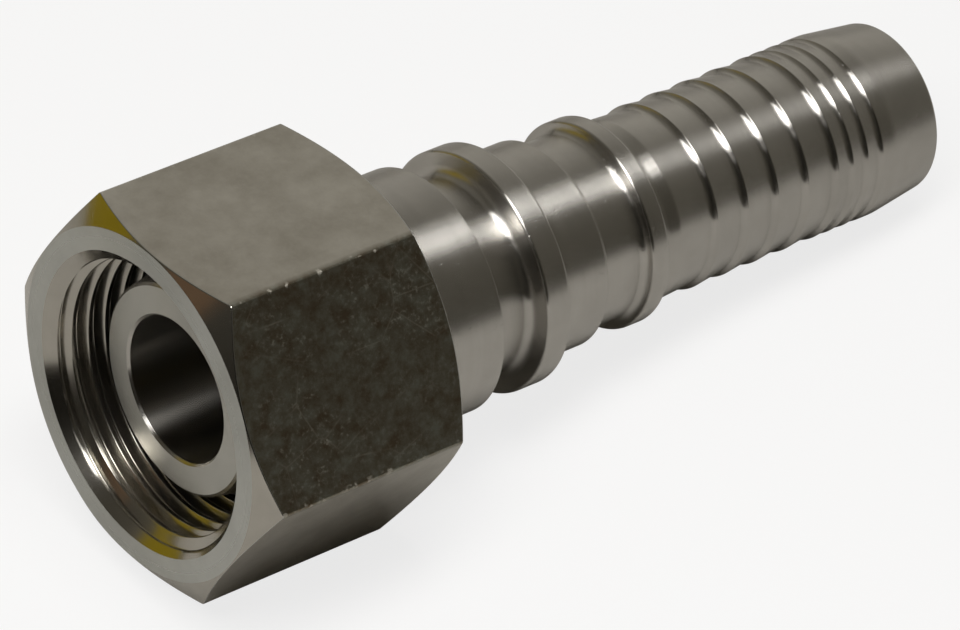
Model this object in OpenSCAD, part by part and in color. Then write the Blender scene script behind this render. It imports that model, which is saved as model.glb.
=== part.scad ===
// Swivel hose fitting for hydraulic hose.
// A turned insert runs from a cone end with a seal ring to a barbed hose tail.
// A hexagonal nut slides over the insert from the tail, stops on its collar and turns freely.
// The axis lies along X: the mouth of the nut looks to -X and the hose tail to +X.
// The origin is the centre of the cone's front face, and one flat of the nut looks up to +Z.

/* [Cone end] */
// Diameter of the bore through the insert
bore_d = 15; // [12:0.5:16]
// Diameter of the cone at its front face
nose_d = 21.6; // [20.5:0.1:22.5]
// Full angle of the cone
cone_angle = 24; // [20:1:30]
// Chamfer at the edges of the bore and of the front face
edge_chamfer = 0.25; // [0.1:0.05:0.4]

/* [Seal ring] */
// Thickness of the seal ring
seal_section = 2; // [1.6:0.1:2.2]
// Distance from the front face to the middle of the seal ring
seal_at = 4.3; // [3.5:0.1:5]
// Diameter of the groove's floor
seal_groove_d = 20; // [19:0.1:20.4]
// Space on each side of the ring in its groove
seal_side_gap = 0.3; // [0.2:0.05:0.5]

/* [Collar and body] */
// Step from the cone up to the collar
collar_step = 0.45; // [0.3:0.05:0.7]
// Length of the collar at its full diameter
collar_len = 2.6; // [2:0.1:4]
// Diameter of the body behind the collar
body_d = 25.4; // [24.5:0.1:25.8]
// Length of the body, from the collar's shoulder to the lock groove
body_len = 16.25; // [12:0.25:20]

/* [Ferrule seat] */
// Diameter of the lock groove that the ferrule is pressed into
lock_groove_d = 20.2; // [19:0.1:22]
// Width of the lock groove
lock_groove_w = 5.5; // [4:0.1:8]
// Radius between the lock groove's floor and the lock flange
lock_fillet = 1; // [0.3:0.1:1.2]
// Diameter of the lock flange
lock_flange_d = 25.2; // [24:0.1:25.4]
// Width of the lock flange
lock_flange_w = 3; // [2:0.1:5]
// Diameter of the seat behind the lock flange
seat_d = 21.6; // [20.6:0.1:23]
// Length of the seat
seat_len = 6.2; // [5:0.1:8]
// Diameter of the neck behind the seat
neck_d = 19.5; // [18.6:0.1:20]
// Length of the neck
neck_len = 5.6; // [4:0.1:8]
// Radius at both ends of the neck
neck_fillet = 0.8; // [0.3:0.1:0.8]
// Diameter of the hose stop
stop_d = 21.8; // [21.4:0.1:24]
// Width of the hose stop
stop_w = 2.2; // [1.6:0.1:4]
// Rounding of the flange edges
flange_round = 0.3; // [0.1:0.05:0.5]

/* [Hose tail] */
// Diameter over the barbs
tail_d = 19.6; // [19:0.1:21]
// Height of a barb's steep front
barb_h = 0.45; // [0.2:0.05:0.6]
// Length of a barb's steep front
barb_front = 0.35; // [0.2:0.05:0.8]
// Distance from one barb to the next
barb_pitch = 4; // [3:0.1:5]
// Number of barbs
barb_count = 5; // [3:1:7]
// Height of the steep front of the close barbs near the end
close_barb_h = 0.28; // [0.15:0.01:0.4]
// Distance from one close barb to the next
close_pitch = 2; // [1.4:0.1:3]
// Number of close barbs
close_count = 3; // [1:1:5]
// Diameter of the tail between the hose stop and the first low ring
tail_root_d = 18.8; // [17.6:0.1:19]
// Distance from the hose stop to the crest of the low ring
low_ring_at = 2.6; // [1.6:0.1:4]
// Diameter over the low ring
low_ring_d = 19.2; // [18.9:0.1:19.6]
// Length of the low ring's front slope
low_ring_front = 1.4; // [0.5:0.1:2]
// Distance from the low ring to the first barb
first_barb_gap = 4.6; // [3:0.1:6]
// Length of the plain stretch behind the last close barb
plain_len = 1.7; // [1:0.1:4]
// Length of the lead-in taper
lead_len = 6.4; // [4:0.1:10]
// Diameter of the tail's end face
end_d = 18; // [17:0.1:18.6]
// Rounding of the end face's rim
end_round = 0.4; // [0.2:0.1:0.8]

/* [Swivel nut] */
// Distance across the flats
nut_flats = 36; // [35:0.5:41]
// Outer diameter of the thread
thread_d = 30; // [29.5:0.25:31]
// Pitch of the thread
thread_pitch = 2; // [1.5:0.25:2]
// Distance from the nut's front face back to the cone's front face
nose_recess = 4.4; // [2:0.1:6]
// Length of the nut's rear bore, which guides it on the body
guide_len = 6.45; // [4:0.05:10]
// Angle of the chamfers on the hexagon
hex_chamfer_angle = 30; // [20:1:40]
// Width of the groove where the thread ends
thread_relief_w = 2.4; // [1.5:0.1:3.5]
// Chamfer at the rear edge of the guide bore
guide_chamfer = 0.5; // [0.2:0.1:1]

/* [Clearances] */
// Gap between the body and the nut's guide bore, on the radius
swivel_clearance = 0.1; // [0.05:0.01:0.1]
// Gap between the collar's shoulder and the nut's, along the axis
shoulder_clearance = 0.1; // [0.05:0.05:0.3]
// Gap between the collar and the crests of the thread, on the radius
collar_clearance = 0.5; // [0.3:0.05:0.8]
// Gap between the seal ring and the floor of its groove, on the radius
seal_clearance = 0.05; // [0.03:0.01:0.2]
// How far the mouth's countersink is wider than the thread, on the radius
mouth_margin = 0.55; // [0.3:0.05:1]
// How far the nut's face circle lies inside the flats, on the radius
face_margin = 0.1; // [0.05:0.05:0.5]
// Depth of the thread's end groove beyond the thread, on the radius
relief_margin = 0.3; // [0.1:0.1:0.6]

/* [Hidden] */
round_facets = 180;
arc_facets = 64;
over = 1;

// Thread: the crests of an inside thread stand 5/8 of the full triangle's height from its root.
thread_h = 5 / 8 * thread_pitch * sqrt(3) / 2;
thread_minor_d = thread_d - 2 * thread_h;

// Stations along X, from the cone's front face to the end of the tail.
collar_d = thread_minor_d - 2 * collar_clearance;
cone_end_d = collar_d - 2 * collar_step;
cone_slope = tan(cone_angle / 2);
cone_end = (cone_end_d - nose_d) / 2 / cone_slope;
collar_front = cone_end + collar_step;
collar_end = collar_front + collar_len;
shoulder_end = collar_end + (collar_d - body_d) / 2;
body_end = shoulder_end + body_len;
lock_flange_front = body_end + lock_groove_w;
lock_flange_end = lock_flange_front + lock_flange_w;
seat_end = lock_flange_end + seat_len;
stop_front = seat_end + neck_len;
stop_end = stop_front + stop_w;
low_ring = stop_end + low_ring_at;
first_barb = low_ring + first_barb_gap;
last_barb = first_barb + (barb_count - 1) * barb_pitch;
last_close_barb = last_barb + close_count * close_pitch;
lead_start = last_close_barb + plain_len;
insert_end = lead_start + lead_len;
barb_root_d = tail_d - 2 * barb_h;
close_root_d = tail_d - 2 * close_barb_h;

// Nut: its inner shoulder bears on the collar's, and its guide bore runs on the body.
guide_d = body_d + 2 * swivel_clearance;
nut_shoulder_end = shoulder_end + shoulder_clearance - swivel_clearance;
relief_d = thread_d + 2 * relief_margin;
relief_end = nut_shoulder_end - (relief_d - guide_d) / 2;
thread_end = relief_end - thread_relief_w;
mouth_d = thread_d + 2 * mouth_margin;
mouth_depth = (mouth_d - thread_minor_d) / 2;
nut_front = -nose_recess;
nut_rear = nut_shoulder_end + guide_len;
nut_corners = nut_flats / cos(30);
face_d = nut_flats - 2 * face_margin;
hex_chamfer = (nut_corners - face_d) / 2 * tan(hex_chamfer_angle);

// In the flat outlines below, X is the distance from the axis and Y the station along it.

// Turns an outline about the axis of the fitting.
module turned() {
  rotate([0, 90, 0])
    rotate_extrude($fn = round_facets)
      children();
}

// A straight or tapered length of bar between two stations.
module bar(from, to, d_from, d_to) {
  polygon([[0, from], [d_from / 2, from], [d_to / 2, to], [0, to]]);
}

// The piece between a square corner and the quarter circle inside it.
module corner_piece(r) {
  difference() {
    square(r);
    translate([r, r]) circle(r, $fn = arc_facets);
  }
}

// Fills the corner where a bar of diameter d meets a face, on the side given by dir.
module fillet(station, d, r, dir) {
  translate([d / 2, station]) scale([1, dir]) corner_piece(r);
}

// Marks the corner to be cut off a bar of diameter d at a face, with the bar on the side dir.
module rounding(station, d, r, dir) {
  translate([d / 2, station]) scale([-1, dir]) corner_piece(r);
}

// One flange, with both edges rounded.
module flange(from, to, d) {
  difference() {
    bar(from, to, d, d);
    rounding(from, d, flange_round, 1);
    rounding(to, d, flange_round, -1);
  }
}

// One barb: the slow fall from the crest before it, then its steep front.
module barb(from, d_from, crest, root_d) {
  bar(from, crest - barb_front, d_from, root_d);
  bar(crest - barb_front, crest, root_d, tail_d);
}

module cone_end_outline() {
  bar(0, edge_chamfer, nose_d - 2 * edge_chamfer, nose_d + 2 * edge_chamfer * cone_slope);
  bar(edge_chamfer, cone_end, nose_d + 2 * edge_chamfer * cone_slope, cone_end_d);
  bar(cone_end, collar_front, cone_end_d, collar_d);
  bar(collar_front, collar_end, collar_d, collar_d);
  bar(collar_end, shoulder_end, collar_d, body_d);
}

module ferrule_seat_outline() {
  bar(shoulder_end, body_end, body_d, body_d);
  bar(body_end, lock_flange_front, lock_groove_d, lock_groove_d);
  fillet(lock_flange_front, lock_groove_d, lock_fillet, -1);
  flange(lock_flange_front, lock_flange_end, lock_flange_d);
  bar(lock_flange_end, seat_end, seat_d, seat_d);
  bar(seat_end, stop_front, neck_d, neck_d);
  fillet(seat_end, neck_d, neck_fillet, 1);
  fillet(stop_front, neck_d, neck_fillet, -1);
  flange(stop_front, stop_end, stop_d);
}

module hose_tail_outline() {
  bar(stop_end, low_ring - low_ring_front, tail_root_d, tail_root_d);
  bar(low_ring - low_ring_front, low_ring, tail_root_d, low_ring_d);
  barb(low_ring, low_ring_d, first_barb, barb_root_d);
  for (i = [1 : barb_count - 1])
    barb(first_barb + (i - 1) * barb_pitch, tail_d, first_barb + i * barb_pitch, barb_root_d);
  for (i = [1 : close_count])
    barb(last_barb + (i - 1) * close_pitch, tail_d, last_barb + i * close_pitch, close_root_d);
  bar(last_close_barb, lead_start, tail_d, tail_d);
  difference() {
    bar(lead_start, insert_end, tail_d, end_d);
    rounding(insert_end, end_d, end_round, -1);
  }
}

module hose_insert() {
  color([0.66, 0.64, 0.61])
    turned() difference() {
      union() {
        cone_end_outline();
        ferrule_seat_outline();
        hose_tail_outline();
      }
      bar(-over, insert_end + over, bore_d, bore_d);
      bar(0, edge_chamfer, bore_d + 2 * edge_chamfer, bore_d);
      bar(insert_end - edge_chamfer, insert_end, bore_d, bore_d + 2 * edge_chamfer);
      seal_groove_outline();
    }
}

module seal_groove_outline() {
  groove_w = seal_section + 2 * seal_side_gap;
  translate([seal_groove_d / 2, seal_at - groove_w / 2])
    square([seal_section * 2, groove_w]);
}

module cone_seal() {
  color([0.08, 0.08, 0.08])
    turned() translate([seal_groove_d / 2 + seal_clearance + seal_section / 2, seal_at])
      circle(d = seal_section, $fn = arc_facets);
}

// The hexagon with the turned chamfers at both faces.
module hexagon_body() {
  intersection() {
    translate([nut_front, 0, 0])
      rotate([0, 90, 0])
        rotate([0, 0, 30])
          cylinder(h = nut_rear - nut_front, d = nut_corners, $fn = 6);
    turned() {
      bar(nut_front, nut_front + hex_chamfer, face_d, nut_corners);
      bar(nut_front + hex_chamfer, nut_rear - hex_chamfer, nut_corners, nut_corners);
      bar(nut_rear - hex_chamfer, nut_rear, nut_corners, face_d);
    }
  }
}

// What is bored out of the nut: countersink, thread core, end groove, shoulder and guide.
module nut_bore_outline() {
  bar(nut_front - over, nut_front, mouth_d, mouth_d);
  bar(nut_front, nut_front + mouth_depth, mouth_d, thread_minor_d);
  bar(nut_front + mouth_depth, thread_end, thread_minor_d, thread_minor_d);
  bar(thread_end, relief_end, relief_d, relief_d);
  bar(relief_end, nut_shoulder_end, relief_d, guide_d);
  bar(nut_shoulder_end, nut_rear - guide_chamfer, guide_d, guide_d);
  bar(nut_rear - guide_chamfer, nut_rear, guide_d, guide_d + 2 * guide_chamfer);
  bar(nut_rear, nut_rear + over, guide_d + 2 * guide_chamfer, guide_d + 2 * guide_chamfer);
}

module swivel_nut() {
  color([0.60, 0.58, 0.55])
    difference() {
      hexagon_body();
      turned() nut_bore_outline();
    }
}

hose_insert();
cone_seal();
swivel_nut();
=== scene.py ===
import math

import bmesh
import bpy
import numpy as np
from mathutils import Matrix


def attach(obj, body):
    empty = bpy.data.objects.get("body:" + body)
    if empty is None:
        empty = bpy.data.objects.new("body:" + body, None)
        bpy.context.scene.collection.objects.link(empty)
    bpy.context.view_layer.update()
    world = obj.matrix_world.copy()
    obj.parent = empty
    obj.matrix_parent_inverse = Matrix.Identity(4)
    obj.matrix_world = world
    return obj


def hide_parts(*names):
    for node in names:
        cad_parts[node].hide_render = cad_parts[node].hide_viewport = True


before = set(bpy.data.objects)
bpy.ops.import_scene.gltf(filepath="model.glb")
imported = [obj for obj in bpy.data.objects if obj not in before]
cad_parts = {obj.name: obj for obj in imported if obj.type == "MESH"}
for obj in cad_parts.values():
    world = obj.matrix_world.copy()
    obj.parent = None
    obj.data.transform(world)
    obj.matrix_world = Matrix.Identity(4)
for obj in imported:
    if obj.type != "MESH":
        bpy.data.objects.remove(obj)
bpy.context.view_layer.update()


# Turned insert: one piece of free-cutting steel, turned on a lathe from bar, with cone end,
# collar, body, ferrule seat and barbed hose tail. The tool leaves fine rings round the axis, so
# that its reflections stretch along the axis and stay sharp around it.

MM = 0.001
# Stations along X and radii, in millimetres. EDGE is the chamfer on the bore's and nose's edges.
BORE_R = 7.5
NOSE_R = 10.8
CONE_SLOPE = math.tan(math.radians(12))
CONE_END, CONE_END_R = 10.197, 12.968
COLLAR_FRONT, COLLAR_END, COLLAR_R = 10.647, 13.247, 13.4175
SHOULDER_END, BODY_R = 13.965, 12.7
BODY_END, LOCK_GROOVE_R = 30.215, 10.1
FLANGE_FRONT, FLANGE_END, FLANGE_R = 35.715, 38.715, 12.6
SEAT_END, SEAT_R = 44.915, 10.8
STOP_FRONT, STOP_END, NECK_R, STOP_R = 50.515, 52.715, 9.75, 10.9
TAIL_ROOT_R, LOW_RING, LOW_RING_R, LOW_RING_FRONT = 9.4, 55.315, 9.6, 1.4
FIRST_BARB, BARB_PITCH, BARBS, BARB_FRONT = 59.915, 4.0, 5, 0.35
CREST_R, BARB_ROOT_R, CLOSE_ROOT_R = 9.8, 9.35, 9.52
CLOSE_PITCH, CLOSE_BARBS = 2.0, 3
LEAD_START, INSERT_END, END_R = 83.615, 90.014, 9.0
SEAL_AT, GROOVE_HALF, GROOVE_R = 4.3, 1.3, 10.0
EDGE = 0.25
# Each corner of an outline becomes an arc of five points between two guard points.
ARC_POINTS = 5
POINTS_PER_CORNER = ARC_POINTS + 2
MID_ARC = POINTS_PER_CORNER // 2
TURN_STEPS = 160


def rounded(corners, radii, guard=0.02):
    """A closed outline of straight sides, with an arc in place of each corner.

    An arc of radius q touches both sides at q / tan(half the corner's angle) from the corner.
    Where two arcs need more than the side between them, each shrinks to its share, less a
    little for the guard points. The points are spread evenly in angle, and a guard point on
    each side keeps the shading of the straight sides straight. Outlines may be stacked.
    """
    back = np.roll(corners, 1, axis=-2) - corners
    ahead = np.roll(corners, -1, axis=-2) - corners
    back_len = np.linalg.norm(back, axis=-1)
    ahead_len = np.linalg.norm(ahead, axis=-1)
    back = back / back_len[..., None]
    ahead = ahead / ahead_len[..., None]
    half = 0.5 * np.arccos(np.clip((back * ahead).sum(-1), -0.99999, 0.99999))
    reach = radii / np.tan(half)
    share_back = back_len / (reach + np.roll(reach, 1, axis=-1) + 1e-9)
    share_ahead = ahead_len / (reach + np.roll(reach, -1, axis=-1) + 1e-9)
    touch = reach * np.minimum(0.96 * np.minimum(share_back, share_ahead), 1.0)
    radius = touch * np.tan(half)
    middle = back + ahead
    middle = middle / np.linalg.norm(middle, axis=-1)[..., None]
    centre = corners + middle * (radius / np.sin(half))[..., None]
    start = corners + back * touch[..., None] - centre
    end = corners + ahead * touch[..., None] - centre
    swing = math.pi - 2 * half
    past = (touch + np.minimum(guard, 0.1 * touch + 0.002))[..., None]
    pieces = [corners + back * past]
    for k in np.linspace(0, 1, ARC_POINTS):
        weight_a = np.sin((1 - k) * swing) / np.sin(swing)
        weight_b = np.sin(k * swing) / np.sin(swing)
        pieces.append(centre + start * weight_a[..., None] + end * weight_b[..., None])
    pieces.append(corners + ahead * past)
    points = np.stack(pieces, axis=-2)
    return points.reshape(points.shape[:-3] + (-1, 2))


def skin(name, points, faces):
    """A smooth mesh object from points in millimetres and four-cornered faces."""
    mesh = bpy.data.meshes.new(name)
    mesh.from_pydata((points * MM).tolist(), [], faces.tolist())
    mesh.polygons.foreach_set("use_smooth", np.ones(len(mesh.polygons), bool))
    mesh.update()
    piece = bpy.data.objects.new(name, mesh)
    bpy.context.scene.collection.objects.link(piece)
    return piece


def insert_corners():
    """The insert's outline as rows of station, radius and corner radius.

    It runs from the bore's front edge over the outside to the bore's rear edge. The cone's
    radius at a station is the nose's plus the tangent of 12 degrees for each millimetre.
    """
    cone = lambda x: NOSE_R + (x - EDGE) * CONE_SLOPE
    rows = [
        (EDGE, BORE_R, 0.08),
        (0, BORE_R + EDGE, 0.05),
        (0, NOSE_R - EDGE, 0.06),
        (EDGE, NOSE_R + 0.05, 0.06),
        (SEAL_AT - GROOVE_HALF, cone(SEAL_AT - GROOVE_HALF), 0.08),
        (SEAL_AT - GROOVE_HALF, GROOVE_R, 0.2),
        (SEAL_AT + GROOVE_HALF, GROOVE_R, 0.2),
        (SEAL_AT + GROOVE_HALF, cone(SEAL_AT + GROOVE_HALF), 0.08),
        (CONE_END, CONE_END_R, 0.1),
        (COLLAR_FRONT, COLLAR_R, 0.1),
        (COLLAR_END, COLLAR_R, 0.12),
        (SHOULDER_END, BODY_R, 0.2),
        (BODY_END, BODY_R, 0.12),
        (BODY_END, LOCK_GROOVE_R, 0.3),
        (FLANGE_FRONT, LOCK_GROOVE_R, 1.0),
        (FLANGE_FRONT, FLANGE_R, 0.3),
        (FLANGE_END, FLANGE_R, 0.3),
        (FLANGE_END, SEAT_R, 0.12),
        (SEAT_END, SEAT_R, 0.25),
        (SEAT_END, NECK_R, 0.8),
        (STOP_FRONT, NECK_R, 0.8),
        (STOP_FRONT, STOP_R, 0.3),
        (STOP_END, STOP_R, 0.3),
        (STOP_END, TAIL_ROOT_R, 0.2),
        (LOW_RING - LOW_RING_FRONT, TAIL_ROOT_R, 3.0),
        (LOW_RING, LOW_RING_R, 1.5),
    ]
    for barb in range(BARBS):
        crest = FIRST_BARB + barb * BARB_PITCH
        rows += [(crest - BARB_FRONT, BARB_ROOT_R, 0.75), (crest, CREST_R, 0.12)]
    for barb in range(1, CLOSE_BARBS + 1):
        crest = FIRST_BARB + (BARBS - 1) * BARB_PITCH + barb * CLOSE_PITCH
        rows += [(crest - BARB_FRONT, CLOSE_ROOT_R, 0.75), (crest, CREST_R, 0.12)]
    rows += [
        (LEAD_START, CREST_R, 6.0),
        (INSERT_END, END_R, 0.4),
        (INSERT_END, BORE_R + EDGE, 0.08),
        (INSERT_END - EDGE, BORE_R, 0.08),
    ]
    return np.array(rows)


def revolved(outline, turns):
    """An outline turned about X: a grid of points, and the faces that close it both ways.

    A point is (station, r cos t, r sin t) for each turn angle t and each point of the outline.
    """
    station, radius = outline[:, 0], outline[:, 1]
    points = np.stack([
        np.broadcast_to(station, (len(turns), len(station))),
        np.cos(turns)[:, None] * radius,
        np.sin(turns)[:, None] * radius,
    ], axis=-1).reshape(-1, 3)
    ring = np.arange(len(turns))[:, None] * len(station)
    next_ring = np.roll(ring, -1, axis=0)
    here = np.arange(len(station))[None, :]
    there = np.roll(here, -1, axis=1)
    faces = np.stack([ring + here, next_ring + here, next_ring + there, ring + there], axis=-1)
    return points, faces.reshape(-1, 4)


def linear(hex_colour):
    """An sRGB hex colour as a linear RGBA tuple: ((c + 0.055) / 1.055) ** 2.4 above the toe."""
    parts = [int(hex_colour[i:i + 2], 16) / 255 for i in (0, 2, 4)]
    curved = [c / 12.92 if c <= 0.04045 else ((c + 0.055) / 1.055) ** 2.4 for c in parts]
    return (*curved, 1.0)


def add(tree, kind, inputs=None, **settings):
    """Adds one node to the tree. Inputs are values or output sockets, by name or number."""
    made = tree.nodes.new("ShaderNode" + kind)
    for setting, value in settings.items():
        setattr(made, setting, value)
    for key, value in (inputs or {}).items():
        if isinstance(value, bpy.types.NodeSocket):
            tree.links.new(value, made.inputs[key])
        else:
            made.inputs[key].default_value = value
    return made


def lathe_turned(name, light, dark, roughness, spread, ring_depth, anisotropy):
    """Bright steel straight from the lathe, with rings round X.

    It is slightly uneven in tone and, by the spread, in gloss. The rings scatter light along
    the axis and hardly round it, which the anisotropy gives: its direction is a quarter turn
    from the tangent round X.
    """
    material = bpy.data.materials.new(name)
    material.use_nodes = True
    tree = material.node_tree
    shader = tree.nodes["Principled BSDF"]
    place = add(tree, "TexCoord").outputs["Object"]
    # The rings follow the station and the radius, and drift slightly on the way round.
    axes = add(tree, "SeparateXYZ", {0: place})
    across = add(tree, "Math", {0: axes.outputs["Y"], 1: axes.outputs["Z"]}, operation="MULTIPLY")
    y_squared = add(tree, "Math", {0: axes.outputs["Y"], 1: 2.0}, operation="POWER")
    z_squared = add(tree, "Math", {0: axes.outputs["Z"], 1: 2.0}, operation="POWER")
    squares = add(tree, "Math", {
        0: y_squared.outputs[0], 1: z_squared.outputs[0]}, operation="ADD")
    radius = add(tree, "Math", {0: squares.outputs[0]}, operation="SQRT")
    drift = add(tree, "Math", {0: across.outputs[0], 1: 0.6}, operation="MULTIPLY")
    outline_place = add(tree, "CombineXYZ", {
        "X": axes.outputs["X"], "Y": radius.outputs[0], "Z": drift.outputs[0]})
    # Feed marks of about 0.15 mm, drawn 0.25 mm apart so that they show.
    rings = add(tree, "TexNoise", {
        "Vector": outline_place.outputs[0], "Scale": 4000.0, "Detail": 2.0, "Roughness": 0.6})
    # Broad bands where the tool dwelt, one or two millimetres apart.
    bands = add(tree, "TexNoise", {
        "Vector": outline_place.outputs[0], "Scale": 700.0, "Detail": 3.0, "Roughness": 0.55})
    # Handling marks and stains, 4 mm across.
    stains = add(tree, "TexNoise", {
        "Vector": place, "Scale": 260.0, "Detail": 5.0, "Roughness": 0.6})
    tone = add(tree, "Mix", {
        "Factor": bands.outputs["Fac"], "A": linear(dark), "B": linear(light)}, data_type="RGBA")
    blotch = add(tree, "MapRange", {
        "Value": stains.outputs["Fac"], "From Min": 0.35, "From Max": 0.7,
        "To Min": 1.0, "To Max": 0.9})
    shade = add(tree, "Mix", {
        "Factor": 1.0, "A": tone.outputs["Result"], "B": blotch.outputs["Result"]},
        data_type="RGBA", blend_type="MULTIPLY")
    gloss = add(tree, "MapRange", {
        "Value": rings.outputs["Fac"], "From Min": 0.3, "From Max": 0.7,
        "To Min": roughness - spread, "To Max": roughness + spread})
    # Pits of 0.2 mm, a few to each square centimetre.
    grain = add(tree, "TexNoise", {"Vector": place, "Scale": 2200.0, "Detail": 1.0})
    pits = add(tree, "MapRange", {
        "Value": grain.outputs["Fac"], "From Min": 0.69, "From Max": 0.74, "To Max": 5.0})
    height = add(tree, "Math", {
        0: rings.outputs["Fac"], 1: pits.outputs["Result"]}, operation="SUBTRACT")
    bump = add(tree, "Bump", {
        "Height": height.outputs[0], "Strength": 1.0, "Distance": ring_depth})
    tangent = add(tree, "Tangent", direction_type="RADIAL", axis="X")
    tree.links.new(shade.outputs["Result"], shader.inputs["Base Color"])
    tree.links.new(gloss.outputs["Result"], shader.inputs["Roughness"])
    tree.links.new(bump.outputs["Normal"], shader.inputs["Normal"])
    tree.links.new(tangent.outputs["Tangent"], shader.inputs["Tangent"])
    shader.inputs["Metallic"].default_value = 1.0
    shader.inputs["Anisotropic"].default_value = anisotropy
    shader.inputs["Anisotropic Rotation"].default_value = 0.25
    return material


outline = insert_corners()
insert_turns = np.arange(TURN_STEPS) * (2 * math.pi / TURN_STEPS)
insert_points, insert_faces = revolved(rounded(outline[:, :2], outline[:, 2]), insert_turns)
insert = skin("insert_turned", insert_points, insert_faces)
# Name, light and dark tone, roughness and its spread, depth of the rings in metres, anisotropy.
# The tail and the lock groove have the finer feed, the bore is reamed and the front is faced.
BRIGHT, FINE, REAMED, FACED = range(4)
for surface in (
        ("turned_steel_bright", "CFCCC7", "C1BEB9", 0.255, 0.012, 0.0000012, 1.0),
        ("finely_turned_tail", "C8C5C0", "C2BFBA", 0.238, 0.010, 0.0000008, 1.0),
        ("reamed_bore", "BDB9B2", "B4B0A8", 0.23, 0.004, 0.0, 1.0),
        ("faced_cone_end", "C1C0BA", "BBBAB4", 0.26, 0.006, 0.0000004, 0.9)):
    insert.data.materials.append(lathe_turned(*surface))
# Faces are counted along the outline. The bore is the one face that closes it.
outline_face = np.arange(len(insert_faces)) % (POINTS_PER_CORNER * len(outline))
tail_start = POINTS_PER_CORNER * int(np.flatnonzero(outline[:, 0] == STOP_END)[1])
groove_start = POINTS_PER_CORNER * int(np.flatnonzero(outline[:, 0] == BODY_END)[1])
front_start = POINTS_PER_CORNER
in_groove = ((outline_face > groove_start + MID_ARC)
             & (outline_face < groove_start + POINTS_PER_CORNER + MID_ARC))
on_front = ((outline_face >= front_start + MID_ARC)
            & (outline_face <= front_start + POINTS_PER_CORNER + MID_ARC))
finish = np.where((outline_face >= tail_start) | in_groove, FINE, BRIGHT)
finish[on_front] = FACED
finish[outline_face == POINTS_PER_CORNER * len(outline) - 1] = REAMED
insert.data.polygons.foreach_set("material_index", finish.astype(np.int32))
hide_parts("hose_insert")
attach(insert, "insert")


# Seal ring: black nitrile rubber, moulded, stretched into the cone's groove, with the dull sheen
# of its oil. It keeps its CAD shape and gets a rubber finish.

def moulded_rubber(name, colour):
    """Black nitrile rubber: a fine moulded grain of 0.2 mm and a soft gloss."""
    material = bpy.data.materials.new(name)
    material.use_nodes = True
    tree = material.node_tree
    shader = tree.nodes["Principled BSDF"]
    place = add(tree, "TexCoord").outputs["Object"]
    grain = add(tree, "TexNoise", {"Vector": place, "Scale": 5000.0, "Detail": 3.0})
    shade = add(tree, "Mix", {
        "Factor": grain.outputs["Fac"], "A": linear(colour), "B": linear("26262A")},
        data_type="RGBA")
    bump = add(tree, "Bump", {
        "Height": grain.outputs["Fac"], "Strength": 0.3, "Distance": 0.00002})
    tree.links.new(shade.outputs["Result"], shader.inputs["Base Color"])
    tree.links.new(bump.outputs["Normal"], shader.inputs["Normal"])
    shader.inputs["Roughness"].default_value = 0.45
    return material


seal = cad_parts["cone_seal"]
seal.data.materials.clear()
seal.data.materials.append(moulded_rubber("nitrile_rubber", "17171A"))


# Union nut: steel, cut from drawn hexagon bar and slipped over the insert. The flats keep the
# dull, slightly stained skin of the bar, one flat also painted dark as shade, and the faces, 30
# degree chamfers, countersink and M30 x 2 thread are turned.

# Stations and radii in millimetres; the thread's crests start THREAD_START past the front.
NUT_FRONT, NUT_REAR = -4.4, 20.415
FLAT_APOTHEM, FACE_R, CORNER_ROUND = 18.0, 17.9, 0.35
CHAMFER_SLOPE = math.tan(math.radians(30))
MOUTH_R, THREAD_CORE_R, THREAD_END = 15.55, 13.9175, 9.065
THREAD_PITCH, THREAD_ROOT_R, THREAD_START = 2.0, 15.0, -1.60
THREAD_CREST = THREAD_PITCH / 4
THREAD_FLANK = (THREAD_ROOT_R - THREAD_CORE_R) * math.tan(math.pi / 6)
THREAD_ROOT = THREAD_PITCH - THREAD_CREST - 2 * THREAD_FLANK
RELIEF_R, RELIEF_END = 15.3, 11.465
NUT_SHOULDER_END, GUIDE_R, GUIDE_EDGE = 13.965, 12.8, 0.5
# Half the turn that a corner's rounding takes up, and the steps across a flat.
HALF_SIDE = (FLAT_APOTHEM - CORNER_ROUND) * math.tan(math.pi / 6)
HALF_CORNER = math.pi / 6 - math.atan(HALF_SIDE / FLAT_APOTHEM)
FLAT_STEPS = 25
# The flat painted dark, with a stain and painted shade, is the one whose outward normal this is.
STAINED_SHADED_FLAT = (0.0, -math.cos(math.radians(30)), math.sin(math.radians(30)))


def hexagon_radius(turns):
    """Distance from the axis to the hexagon at each turn angle.

    On a flat it is apothem / cos(angle from the flat's middle). At a corner it is the far side
    of a circle of the corner's rounding, centred on the corner's line:
    c cos a + sqrt(q^2 - c^2 sin^2 a).
    """
    from_flat = (turns - math.pi / 2 + math.pi / 6) % (math.pi / 3) - math.pi / 6
    from_corner = math.pi / 6 - np.abs(from_flat)
    centre = (FLAT_APOTHEM - CORNER_ROUND) / math.cos(math.pi / 6)
    inside = np.maximum(CORNER_ROUND ** 2 - (centre * np.sin(from_corner)) ** 2, 0)
    arc = centre * np.cos(from_corner) + np.sqrt(inside)
    return np.where(from_corner < HALF_CORNER, arc, FLAT_APOTHEM / np.cos(from_flat))


def nut_turns():
    """Turn angles for the nut's grid: even on the flats and close together over the corners."""
    corner = np.array([-1.15, -1.0, -0.6, -0.2, 0.2, 0.6, 1.0, 1.15]) * HALF_CORNER
    flat = np.linspace(corner[-1], math.pi / 3 + corner[0], FLAT_STEPS + 1)[1:-1]
    sixth = np.concatenate([corner, flat])
    starts = np.arange(6) * math.pi / 3
    return (starts[:, None] + sixth[None, :]).reshape(-1)


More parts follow.
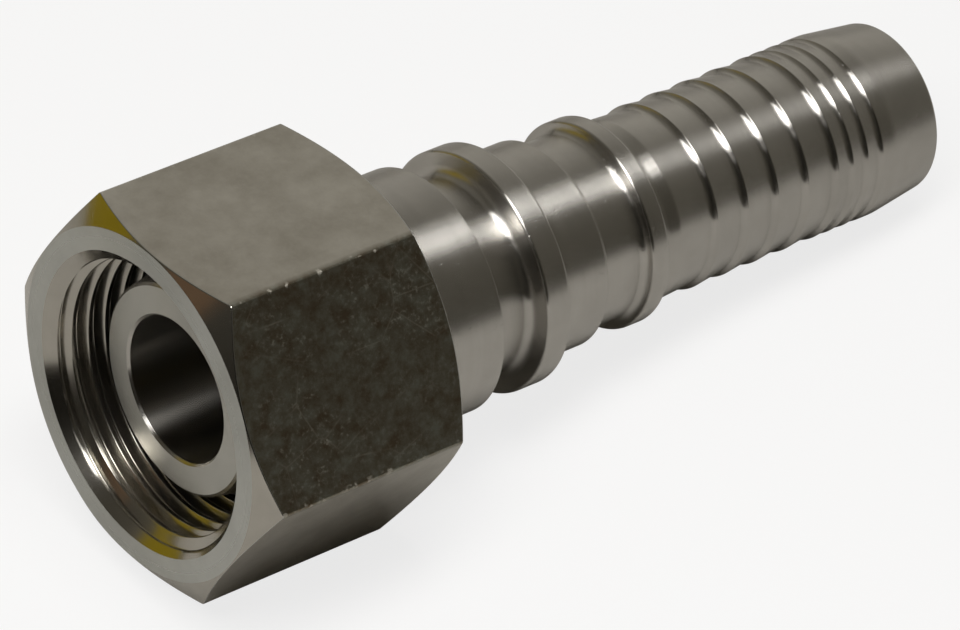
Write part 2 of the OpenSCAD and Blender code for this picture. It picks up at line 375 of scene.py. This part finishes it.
def nut_shell(turns):
    """The nut without its thread, as a grid of turn angles and outline points.

    The outline runs from the thread's end groove over the rear face, the hexagon and the front
    face to the mouth. The chamfers take tan 30 degrees off for each millimetre by which the
    hexagon stands out past the turned face.
    """
    hexagon = hexagon_radius(turns)
    ones = np.ones_like(turns)
    chamfer = (hexagon - FACE_R) * CHAMFER_SLOPE
    rows = [
        (THREAD_END * ones, RELIEF_R * ones, 0.0),
        (RELIEF_END * ones, RELIEF_R * ones, 0.3),
        (NUT_SHOULDER_END * ones, GUIDE_R * ones, 0.1),
        ((NUT_REAR - GUIDE_EDGE) * ones, GUIDE_R * ones, 0.1),
        (NUT_REAR * ones, (GUIDE_R + GUIDE_EDGE) * ones, 0.08),
        (NUT_REAR * ones, FACE_R * ones, 0.12),
        (NUT_REAR - chamfer, hexagon, 0.15),
        (NUT_FRONT + chamfer, hexagon, 0.15),
        (NUT_FRONT * ones, FACE_R * ones, 0.12),
        (NUT_FRONT * ones, MOUTH_R * ones, 0.0),
    ]
    corners = np.stack([np.stack([x, r], axis=-1) for x, r, q in rows], axis=1)
    radii = np.array([q for x, r, q in rows]) + 1e-4
    return rounded(corners, radii)


def thread_row_stations():
    """Stations of one pitch of the thread, with rows close together at its four edges."""
    rise = THREAD_CREST
    fall = THREAD_CREST + THREAD_FLANK + THREAD_ROOT
    edges = np.array([0, rise, rise + THREAD_FLANK, fall])
    beside = np.array([-0.06, -0.03, 0, 0.03, 0.06])
    near = (edges[:, None] + beside[None, :]).reshape(-1)
    between = np.array([THREAD_CREST / 2, rise + THREAD_FLANK / 3, rise + THREAD_FLANK * 2 / 3,
                        fall + THREAD_FLANK / 3, fall + THREAD_FLANK * 2 / 3])
    return np.sort(np.concatenate([near, between]))


def thread_radius(phase):
    """Radius of the internal thread at a distance phase past the start of a crest.

    Flat crest, 30 degree flank, root and flank follow each other in straight lines, and a
    short running mean eases the edges between them.
    """
    rise, fall = THREAD_CREST, THREAD_CREST + THREAD_FLANK + THREAD_ROOT
    knots = [0, rise, rise + THREAD_FLANK, fall, THREAD_PITCH]
    levels = [THREAD_CORE_R, THREAD_CORE_R, THREAD_ROOT_R, THREAD_ROOT_R, THREAD_CORE_R]
    total = np.zeros_like(phase)
    shifts = np.linspace(-0.045, 0.045, 7)
    for shift in shifts:
        total += np.interp((phase + shift) % THREAD_PITCH, knots, levels)
    return total / len(shifts)


def threaded_nut():
    """Points and faces of the nut.

    The thread's grid leans with the helix: row k at turn t stands at station k + pitch t / 2 pi,
    so after one turn each row meets the row one pitch on. Rows are held between the mouth and the
    end groove, and the radius is the larger of the thread's and the countersink's.
    """
    turns = nut_turns()
    count = len(turns)
    # The first and last corner of the shell's outline meet the thread, so they stay sharp.
    shell = nut_shell(turns)[:, POINTS_PER_CORNER:-POINTS_PER_CORNER]
    first, last = np.array([THREAD_END, RELIEF_R]), np.array([NUT_FRONT, MOUTH_R])
    shell = np.concatenate([np.broadcast_to(first, (count, 1, 2)), shell,
                            np.broadcast_to(last, (count, 1, 2))], axis=1)
    one_pitch = thread_row_stations()
    per_pitch = len(one_pitch)
    # Whole pitches, from before the mouth to past the groove all the way round.
    start = NUT_FRONT + THREAD_START
    pitches = np.arange(-1, math.ceil((THREAD_END - start) / THREAD_PITCH) + 1)
    stations = (pitches[:, None] * THREAD_PITCH + one_pitch[None, :]).reshape(-1) + start
    lean = THREAD_PITCH * turns / (2 * math.pi)
    station = stations[None, :] + lean[:, None]
    phase = np.broadcast_to(np.tile(one_pitch, len(pitches)), station.shape)
    held = np.clip(station, NUT_FRONT, THREAD_END)
    countersink = MOUTH_R - (held - NUT_FRONT)
    radius = np.maximum(thread_radius(phase), countersink)
    radius = np.where(station <= NUT_FRONT, MOUTH_R, radius)
    radius = np.where(station >= THREAD_END, RELIEF_R, radius)
    thread = np.stack([held, radius], axis=-1)

    def solid(grid):
        return np.stack([grid[..., 0], grid[..., 1] * np.cos(turns)[:, None],
                         grid[..., 1] * np.sin(turns)[:, None]], axis=-1)

    shell_rows, thread_rows = shell.shape[1], thread.shape[1]
    ring = np.arange(count)[:, None]
    next_ring = np.roll(ring, -1, axis=0)
    here = np.arange(shell_rows - 1)[None, :]
    shell_faces = np.stack([
        ring * shell_rows + here, ring * shell_rows + here + 1,
        next_ring * shell_rows + here + 1, next_ring * shell_rows + here], axis=-1).reshape(-1, 4)
    joined = thread_rows - 1 - per_pitch
    here = np.broadcast_to(np.arange(joined), (count, joined))
    beside = here + np.where(next_ring == 0, per_pitch, 0)
    thread_faces = np.stack([
        ring * thread_rows + here, ring * thread_rows + here + 1,
        next_ring * thread_rows + beside + 1, next_ring * thread_rows + beside],
        axis=-1).reshape(-1, 4) + count * shell_rows
    # The thread runs from the mouth inwards, the shell from the groove round to the mouth.
    points = np.concatenate([solid(shell).reshape(-1, 3), solid(thread).reshape(-1, 3)])
    return points, shell_faces, thread_faces, shell_rows


def drawn_bar(name, light, dark, stain_and_shade, roughness):
    """The skin of cold drawn bar: dull, cloudy and scratched, one flat stained brown and painted
    dark as shade.
    """
    material = bpy.data.materials.new(name)
    material.use_nodes = True
    tree = material.node_tree
    shader = tree.nodes["Principled BSDF"]
    place = add(tree, "TexCoord").outputs["Object"]
    # Clouds 6 mm across, and a finer mottle of 2 mm.
    clouds = add(tree, "TexNoise", {
        "Vector": place, "Scale": 160.0, "Detail": 4.0, "Roughness": 0.5})
    mottle = add(tree, "TexNoise", {
        "Vector": place, "Scale": 600.0, "Detail": 8.0, "Roughness": 0.72})
    both = add(tree, "Math", {
        0: mottle.outputs["Fac"], 1: 0.6, 2: clouds.outputs["Fac"]}, operation="MULTIPLY_ADD")
    cloudy = add(tree, "MapRange", {"Value": both.outputs[0], "From Min": 0.6, "From Max": 1.0})
    tone = add(tree, "Mix", {
        "Factor": cloudy.outputs["Result"], "A": linear(dark), "B": linear(light)},
        data_type="RGBA")
    # The dark flat's colours, mottled: a brown stain and painted shade for the dim room that it
    # mirrors.
    uneven = add(tree, "MapRange", {
        "Value": mottle.outputs["Fac"], "From Min": 0.36, "From Max": 0.64})
    stain_and_shade_tone = add(tree, "Mix", {
        "Factor": uneven.outputs["Result"], "A": linear(stain_and_shade[0]), "B": linear(stain_and_shade[1])},
        data_type="RGBA")
    # The stain and painted shade keep to their flat, and fade where the edges round off.
    towards_flat = add(tree, "VectorMath", {0: place, 1: STAINED_SHADED_FLAT}, operation="DOT_PRODUCT")
    on_flat = add(tree, "MapRange", {
        "Value": towards_flat.outputs["Value"], "From Min": 0.0173, "From Max": 0.01795})
    skin_and_painted_shade = add(tree, "Mix", {
        "Factor": on_flat.outputs["Result"],
        "A": tone.outputs["Result"], "B": stain_and_shade_tone.outputs["Result"]}, data_type="RGBA")
    # Bright specks 0.3 mm across, and hairline scratches along the borders of 6 mm cells, both
    # in worn patches of 5 mm.
    grain = add(tree, "TexNoise", {
        "Vector": place, "Scale": 2400.0, "Detail": 3.0, "Roughness": 0.6})
    specks = add(tree, "MapRange", {
        "Value": grain.outputs["Fac"], "From Min": 0.56, "From Max": 0.74, "To Max": 0.6})
    cells = add(tree, "TexVoronoi", {
        "Vector": place, "Scale": 170.0}, feature="DISTANCE_TO_EDGE")
    hair = add(tree, "MapRange", {
        "Value": cells.outputs["Distance"], "From Min": 0.0, "From Max": 0.016,
        "To Min": 0.3, "To Max": 0.0})
    worn = add(tree, "TexNoise", {"Vector": place, "Scale": 200.0, "Detail": 4.0})
    where = add(tree, "MapRange", {
        "Value": worn.outputs["Fac"], "From Min": 0.43, "From Max": 0.60, "To Min": 0.12})
    scratches = add(tree, "Math", {
        0: hair.outputs["Result"], 1: specks.outputs["Result"]}, operation="MAXIMUM")
    rubbed = add(tree, "Math", {
        0: scratches.outputs[0], 1: where.outputs["Result"]}, operation="MULTIPLY")
    # The hexagon's edges, 20.5 mm and more from the axis, are nicked every few millimetres.
    # A nick shows as bare metal.
    axes = add(tree, "SeparateXYZ", {0: place})
    section = add(tree, "CombineXYZ", {"Y": axes.outputs["Y"], "Z": axes.outputs["Z"]})
    from_axis = add(tree, "VectorMath", {0: section.outputs[0]}, operation="LENGTH")
    at_edge = add(tree, "MapRange", {
        "Value": from_axis.outputs["Value"], "From Min": 0.02050, "From Max": 0.02062})
    knocks = add(tree, "TexNoise", {"Vector": place, "Scale": 900.0, "Detail": 2.0})
    knocked = add(tree, "MapRange", {
        "Value": knocks.outputs["Fac"], "From Min": 0.60, "From Max": 0.66})
    nicks = add(tree, "Math", {
        0: at_edge.outputs["Result"], 1: knocked.outputs["Result"]}, operation="MULTIPLY")
    marks = add(tree, "Math", {
        0: rubbed.outputs[0], 1: nicks.outputs[0]}, operation="MAXIMUM")
    # The marks show more in the stain and painted shade, which they cut through.
    cut_through = add(tree, "MapRange", {
        "Value": on_flat.outputs["Result"], "To Min": 0.45, "To Max": 0.8})
    marked = add(tree, "Math", {
        0: marks.outputs[0], 1: cut_through.outputs["Result"]}, operation="MULTIPLY")
    shade = add(tree, "Mix", {
        "Factor": marked.outputs[0], "A": skin_and_painted_shade.outputs["Result"], "B": linear("C4C0B6")},
        data_type="RGBA")
    gloss = add(tree, "Math", {
        0: marks.outputs[0], 1: 0.3, 2: roughness}, operation="MULTIPLY_ADD")
    relief = add(tree, "Math", {
        0: marks.outputs[0], 1: -1.0, 2: mottle.outputs["Fac"]}, operation="MULTIPLY_ADD")
    bump = add(tree, "Bump", {
        "Height": relief.outputs[0], "Strength": 1.0, "Distance": 0.000008})
    tree.links.new(shade.outputs["Result"], shader.inputs["Base Color"])
    tree.links.new(gloss.outputs[0], shader.inputs["Roughness"])
    tree.links.new(bump.outputs["Normal"], shader.inputs["Normal"])
    shader.inputs["Metallic"].default_value = 1.0
    return material


nut_points, shell_faces, thread_faces, shell_rows = threaded_nut()
nut = skin("union_nut", nut_points, np.concatenate([shell_faces, thread_faces]))
TURNED, DRAWN, CUT = range(3)
nut.data.materials.append(
    lathe_turned("turned_nut_steel", "C9CAC6", "C3C4C0", 0.28, 0.008, 0.0000005, 0.9))
# The last pair of colours is one flat's stain and painted shade.
nut.data.materials.append(
    drawn_bar("drawn_bar_skin", "CBC7BE", "B3AEA4", ("746857", "93948A"), 0.30))
nut.data.materials.append(
    lathe_turned("cut_cone_and_thread", "C4C0B8", "BCB8B0", 0.17, 0.006, 0.0000004, 0.5))
# The flats are the row of faces between the outline's corners 6 and 7, counted from 0 at the
# thread's end groove, with a chamfer one corner away on each side. The chamfers, the
# countersink and the thread have the same bright cut.
flat_face = 6 * POINTS_PER_CORNER
row_of_face = np.arange(len(shell_faces)) % (shell_rows - 1)
on_chamfer = np.abs(np.abs(row_of_face - flat_face) - POINTS_PER_CORNER) <= MID_ARC
finish = np.full(len(nut.data.polygons), CUT, np.int32)
finish[:len(shell_faces)] = np.select([row_of_face == flat_face, on_chamfer], [DRAWN, CUT], TURNED)
nut.data.polygons.foreach_set("material_index", finish)
# The rows held at the mouth and at the groove fall together, and the thread joins the shell.
SAME_POINT, NO_LENGTH, SHARP_FROM = 1e-7, 1e-8, math.radians(35)
weld = bmesh.new()
weld.from_mesh(nut.data)
bmesh.ops.remove_doubles(weld, verts=weld.verts, dist=SAME_POINT)
bmesh.ops.dissolve_degenerate(weld, edges=weld.edges, dist=NO_LENGTH)
weld.to_mesh(nut.data)
weld.free()
nut.data.set_sharp_from_angle(angle=SHARP_FROM)
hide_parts("swivel_nut")
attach(nut, "nut")


# Floor, light and camera: the fitting lies on a white table, on the nut's rear edge and the
# tail's end, which leans its axis 7.4 degrees. A long soft lamp hangs overhead, with a pale wall
# behind the tail and a dim room before the nut.

# Where it touches the table: station and height of the nut's rear edge and of the tail's end, in
# millimetres, and the hair's breadth by which the table stays clear of both.
REST_REAR = (20.3, -18.0)
REST_TAIL = (89.95, -9.05)
REST_GAP = 0.02
LEAN = math.atan2(REST_TAIL[1] - REST_REAR[1], REST_TAIL[0] - REST_REAR[0])
# In metres: the table's side, where along X its painted shade ends, and how soon it is pale.
FLOOR_SIZE = 6.0
SHADE_END, PALE_AFTER = -0.125, 0.03


def table(name, colour):
    """A white laminate table.

    The camera sees it near white, and the metal mirrors it as pale grey under the fitting and
    dark past the nut, as the photographed metal does. Both are painted shade, seen by every ray
    but the camera's.
    """
    material = bpy.data.materials.new(name)
    material.use_nodes = True
    tree = material.node_tree
    shader = tree.nodes["Principled BSDF"]
    place = add(tree, "TexCoord").outputs["Object"]
    along_axis = add(tree, "SeparateXYZ", {0: place}).outputs["X"]
    path = add(tree, "LightPath")
    # Painted shade, seen by all rays but the camera's: dark past the nut, pale grey elsewhere.
    beyond = add(tree, "MapRange", {
        "Value": along_axis, "From Min": SHADE_END, "From Max": SHADE_END + PALE_AFTER})
    painted_shade_mirrored = add(tree, "Mix", {
        "Factor": beyond.outputs["Result"], "A": linear("3A3733"), "B": linear("C0BEBA")},
        data_type="RGBA")
    shade = add(tree, "Mix", {
        "Factor": path.outputs["Is Camera Ray"],
        "A": painted_shade_mirrored.outputs["Result"], "B": linear(colour)}, data_type="RGBA")
    tree.links.new(shade.outputs["Result"], shader.inputs["Base Color"])
    shader.inputs["Roughness"].default_value = 0.9
    shader.inputs["Specular IOR Level"].default_value = 0.1
    share = add(tree, "MapRange", {
        "Value": path.outputs["Is Camera Ray"], "To Min": 0.0, "To Max": 0.75})
    white = add(tree, "Emission", {"Color": linear("FFFFFF"), "Strength": 1.05})
    both = add(tree, "MixShader", {
        0: share.outputs[0], 1: shader.outputs[0], 2: white.outputs[0]})
    tree.links.new(both.outputs[0], tree.nodes["Material Output"].inputs["Surface"])
    return material


along = np.array([math.cos(LEAN), 0, math.sin(LEAN)])
aside = np.array([0, 1.0, 0])
touch = np.array([REST_REAR[0], 0, REST_REAR[1] - REST_GAP]) * MM
floor_corners = np.array([touch + FLOOR_SIZE / 2 * (u * along + v * aside)
                          for u, v in ((-1, -1), (1, -1), (1, 1), (-1, 1))])
floor_mesh = bpy.data.meshes.new("table_top")
floor_mesh.from_pydata(floor_corners.tolist(), [], [(0, 1, 2, 3)])
floor = bpy.data.objects.new("table_top", floor_mesh)
bpy.context.scene.collection.objects.link(floor)
floor_mesh.materials.append(table("white_laminate", "DDDCDB"))


def soft_lamp(name, place, target, size, power, colour, turn):
    """A flat soft lamp at place, facing target, both in metres.

    Its sides lie along X and Y when it faces down, and turn, in degrees, swings it about the
    way that it faces.
    """
    lamp = bpy.data.lights.new(name, "AREA")
    lamp.shape = "RECTANGLE"
    lamp.size, lamp.size_y = size
    lamp.energy = power
    lamp.color = colour
    holder = bpy.data.objects.new(name, lamp)
    bpy.context.scene.collection.objects.link(holder)
    ahead = np.array(target, float) - np.array(place, float)
    ahead /= np.linalg.norm(ahead)
    side = np.cross(ahead, np.array([0, 1.0, 0]))
    side /= np.linalg.norm(side)
    swing = math.radians(turn)
    side = math.cos(swing) * side + math.sin(swing) * np.cross(side, ahead)
    up = np.cross(side, ahead)
    for row in range(3):
        holder.matrix_world[row][:] = (side[row], up[row], -ahead[row], place[row])


# A long lamp overhead with a brighter core, and a weak window to the front. Each row is name,
# place, target, length and width, power in watts, colour and turn in degrees.
for lamp in (
        ("overhead_lamp", (-0.235, -0.112, 0.50), (-0.235, -0.102, 0.0),
         (0.63, 0.248), 1.86, (1.0, 0.99, 0.97), 6.0),
        ("front_window", (-0.50, -0.31, 0.46), (0.03, -0.02, 0.0),
         (0.22, 0.10), 0.06, (1.0, 0.98, 0.95), 0.0),
        ("overhead_core", (-0.235, -0.12, 0.49), (-0.235, -0.115, 0.0),
         (0.63, 0.12), 1.14, (1.0, 0.99, 0.97), 8.0)):
    soft_lamp(*lamp)

CARD_DISTANCE = 0.30


def bystander(name, colour, turns, foot, top):
    """A thing that stands beside the fitting, out of the picture, and that only metal mirrors.

    It is an upright card from foot to top, in metres, between two turns in degrees round from
    the tail. Each of its sides stands at (d cos turn, d sin turn), d being CARD_DISTANCE. It glows
    with its own colour at strength 1, as painted light, and is no lamp.
    """
    material = bpy.data.materials.new(name)
    material.use_nodes = True
    tree = material.node_tree
    # Painted light: the card glows with its colour instead of being lit.
    side = add(tree, "Emission", {"Color": linear(colour), "Strength": 1.0})
    tree.links.new(side.outputs[0], tree.nodes["Material Output"].inputs["Surface"])
    angles = np.radians(turns)
    x0, x1 = CARD_DISTANCE * np.cos(angles)
    y0, y1 = CARD_DISTANCE * np.sin(angles)
    mesh = bpy.data.meshes.new(name)
    mesh.from_pydata(
        [(x0, y0, foot), (x1, y1, foot), (x1, y1, top), (x0, y0, top)], [], [(0, 1, 2, 3)])
    mesh.materials.append(material)
    card = bpy.data.objects.new(name, mesh)
    bpy.context.scene.collection.objects.link(card)
    card.visible_camera = False
    card.visible_shadow = False


# The side of a yellow box, and something brown beyond the nut's mouth, both glowing as painted
# light.
bystander("yellow_box_painted_glow", "8E7C1D", (104, 133), -0.035, 0.115)
bystander("brown_box_painted_glow", "735B45", (150, 168), 0.03, 0.09)

world = bpy.data.worlds.new("room")
bpy.context.scene.world = world
world.use_nodes = True
tree = world.node_tree
sky = tree.nodes["Background"]
look = add(tree, "TexCoord").outputs["Generated"]
# The level direction, as a unit vector, in which the pale wall stands.
TOWARDS_BACK = (0.756, 0.655, 0.0)
towards_back = add(tree, "VectorMath", {0: look, 1: TOWARDS_BACK}, operation="DOT_PRODUCT")
ramp = add(tree, "ValToRGB", {"Fac": add(tree, "MapRange", {
    "Value": towards_back.outputs["Value"], "From Min": -1.0, "From Max": 1.0}).outputs["Result"]})
stops = ramp.color_ramp.elements
# The room from its dark side, before the nut's mouth, to the pale wall behind the tail. Each row
# is the place on the way, the brightness and the warmth. Warmth is the share by which blue is
# weaker than red; green is weaker by three tenths of it.
ROOM = ((0.02, 0.012, 0.26), (0.20, 0.05, 0.26), (0.45, 0.088, 0.26), (0.565, 0.15, 0.22),
        (0.79, 0.185, 0.17), (0.84, 0.28, 0.16), (0.975, 0.50, 0.13))
for number, (position, level, warmth) in enumerate(ROOM):
    stop = stops[number] if number < 2 else stops.new(position)
    stop.position = position
    stop.color = (level, level * (1 - 0.3 * warmth), level * (1 - warmth), 1)
# The camera sees a white surround.
path = add(tree, "LightPath")
seen = add(tree, "Mix", {
    "Factor": path.outputs["Is Camera Ray"],
    "A": ramp.outputs["Color"], "B": linear("F9F9F9")}, data_type="RGBA")
tree.links.new(seen.outputs["Result"], sky.inputs["Color"])

# The camera stands 0.6 m away with a long lens, as solved from the photograph. Lens and sensor
# are in millimetres, the clipping distances and the place in metres, and the rest unit vectors.
LENS, SENSOR_WIDTH = 251.465, 36.0
NEAREST, FARTHEST = 0.01, 20.0
CAMERA_PLACE = (-0.321889, -0.387779, 0.393825)
CAMERA_RIGHT = np.array([0.77766, -0.62100, 0.09798])
CAMERA_UP = np.array([0.31721, 0.52215, 0.79167])
CAMERA_BACK = np.array([-0.54279, -0.58457, 0.60304])
camera_data = bpy.data.cameras.new("camera")
camera_data.sensor_fit = "HORIZONTAL"
camera_data.sensor_width = SENSOR_WIDTH
camera_data.lens = LENS
camera_data.clip_start = NEAREST
camera_data.clip_end = FARTHEST
camera = bpy.data.objects.new("camera", camera_data)
bpy.context.scene.collection.objects.link(camera)
for row in range(3):
    camera.matrix_world[row][:] = (
        CAMERA_RIGHT[row], CAMERA_UP[row], CAMERA_BACK[row], CAMERA_PLACE[row])
bpy.context.scene.camera = camera
bpy.context.scene.view_settings.view_transform = "Standard"
